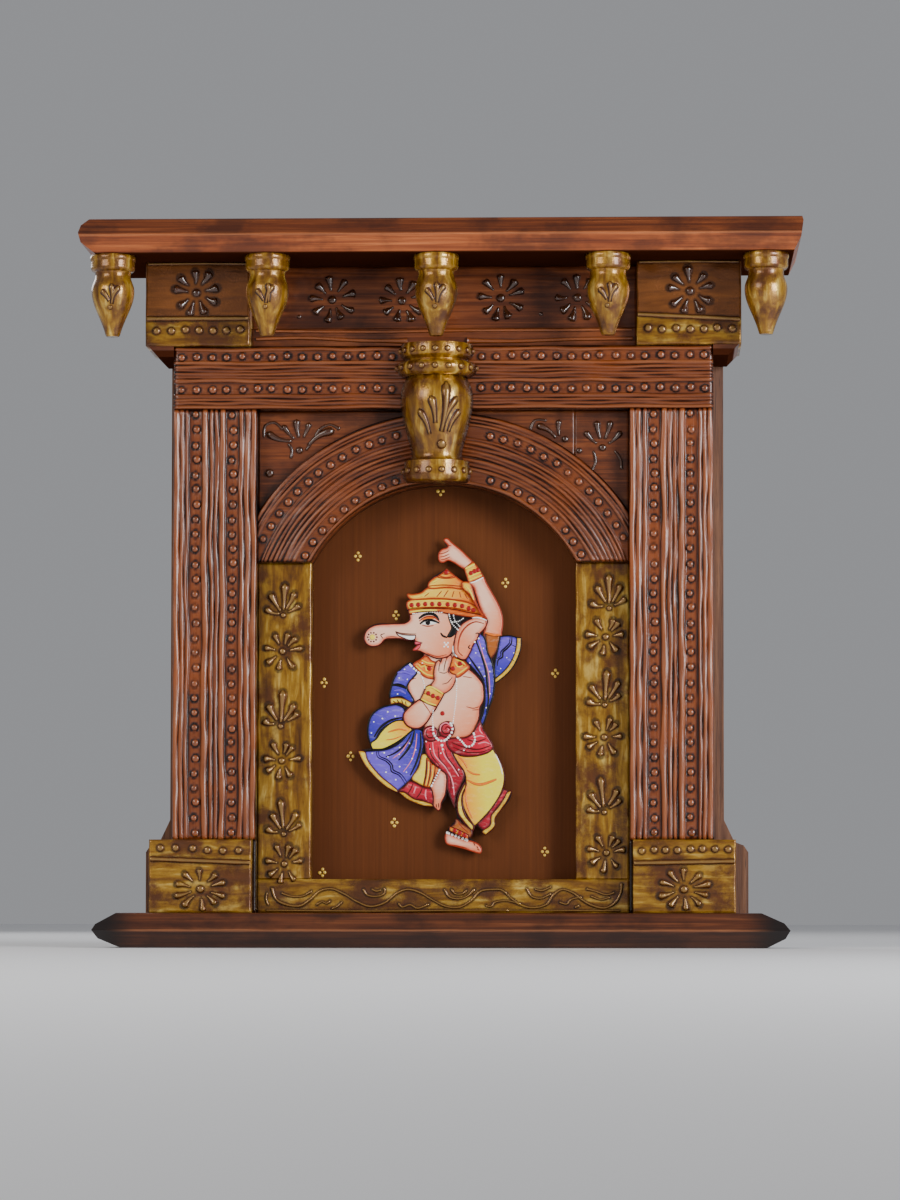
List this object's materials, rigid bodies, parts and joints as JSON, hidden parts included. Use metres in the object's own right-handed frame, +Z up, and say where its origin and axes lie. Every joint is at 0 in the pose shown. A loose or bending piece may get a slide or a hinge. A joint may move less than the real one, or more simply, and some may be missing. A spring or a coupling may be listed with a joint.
{
  "type": "wall-hung wooden temple window with painted figure",
  "caption": "Carved wooden jharokha for the wall: two shelves, reeded pillars, an arched niche with a painted dancing Ganesha cut-out, turned drops and an urn keystone.",
  "frame": {"origin": "the middle of the flat back face that lies on the wall, half way up the piece", "axes": "+X to the viewer's right, +Z up, the front faces -Y and the wall is at Y = 0 behind it"},
  "size_m": [0.61, 0.15, 0.614],
  "materials": {
    "stained_wood": "reddish-brown stained and varnished timber, satin",
    "carcass_wood": "brown washed timber, matt",
    "stained_clay": "hand-laid clay relief on timber, stained copper brown and varnished",
    "clay_bead": "hard modelling clay, stained copper brown, glossy",
    "gold_wood": "antique gold paint with brown patina, satin",
    "gold_clay": "hard modelling clay, antique gold with brown patina",
    "panel_paint": "dark brown brushed paint, satin",
    "painted_figure": "fibreboard cut-out painted in poster colours, clear varnish",
    "gold_dot": "raised gold paint dots",
    "steel": "zinc-plated, satin"
  },
  "bodies": {
    "root": {"arch_beads_left": "clay_bead", "arch_beads_right": "clay_bead", "arch_left": "stained_clay", "arch_right": "stained_clay", "back_board": "carcass_wood", "back_screws": "steel", "block_beads_left": "gold_clay", "block_beads_right": "gold_clay", "block_flowers": "clay_bead", "block_moulding_left": "stained_wood", "block_moulding_right": "stained_wood", "bottom_shelf": "stained_wood", "carcass_top": "carcass_wood", "entablature": "stained_clay", "entablature_beads": "clay_bead", "figure_spacers": "carcass_wood", "frame_rail": "gold_wood", "frame_upright_left": "gold_wood", "frame_upright_right": "gold_wood", "frieze_block_left": "gold_wood", "frieze_block_right": "gold_wood", "frieze_board": "stained_wood", "frieze_fillet": "stained_wood", "frieze_flowers": "clay_bead", "ganesha_figure": "painted_figure", "hanger_plate_left": "steel", "hanger_plate_right": "steel", "hanger_screws": "steel", "niche_panel": "panel_paint", "panel_batten_left": "carcass_wood", "panel_batten_right": "carcass_wood", "panel_dots": "gold_dot", "pendant_1": "gold_wood", "pendant_2": "gold_wood", "pendant_3": "gold_wood", "pendant_4": "gold_wood", "pendant_5": "gold_wood", "pendant_dowels": "carcass_wood", "pillar_beads_left": "clay_bead", "pillar_beads_right": "clay_bead", "pillar_left": "stained_clay", "pillar_right": "stained_clay", "plinth_beads_left": "gold_clay", "plinth_beads_right": "gold_clay", "plinth_flowers": "gold_clay", "plinth_left": "gold_wood", "plinth_right": "gold_wood", "rail_vine": "gold_clay", "side_wall_left": "carcass_wood", "side_wall_right": "carcass_wood", "spandrel_left": "stained_wood", "spandrel_relief": "clay_bead", "spandrel_right": "stained_wood", "spandrel_right_outer": "stained_wood", "top_shelf": "stained_wood", "upright_relief_left": "gold_clay", "upright_relief_right": "gold_clay", "urn_beads": "gold_clay", "urn_keystone": "gold_wood", "urn_packing": "carcass_wood"}
  },
  "joints": []
}
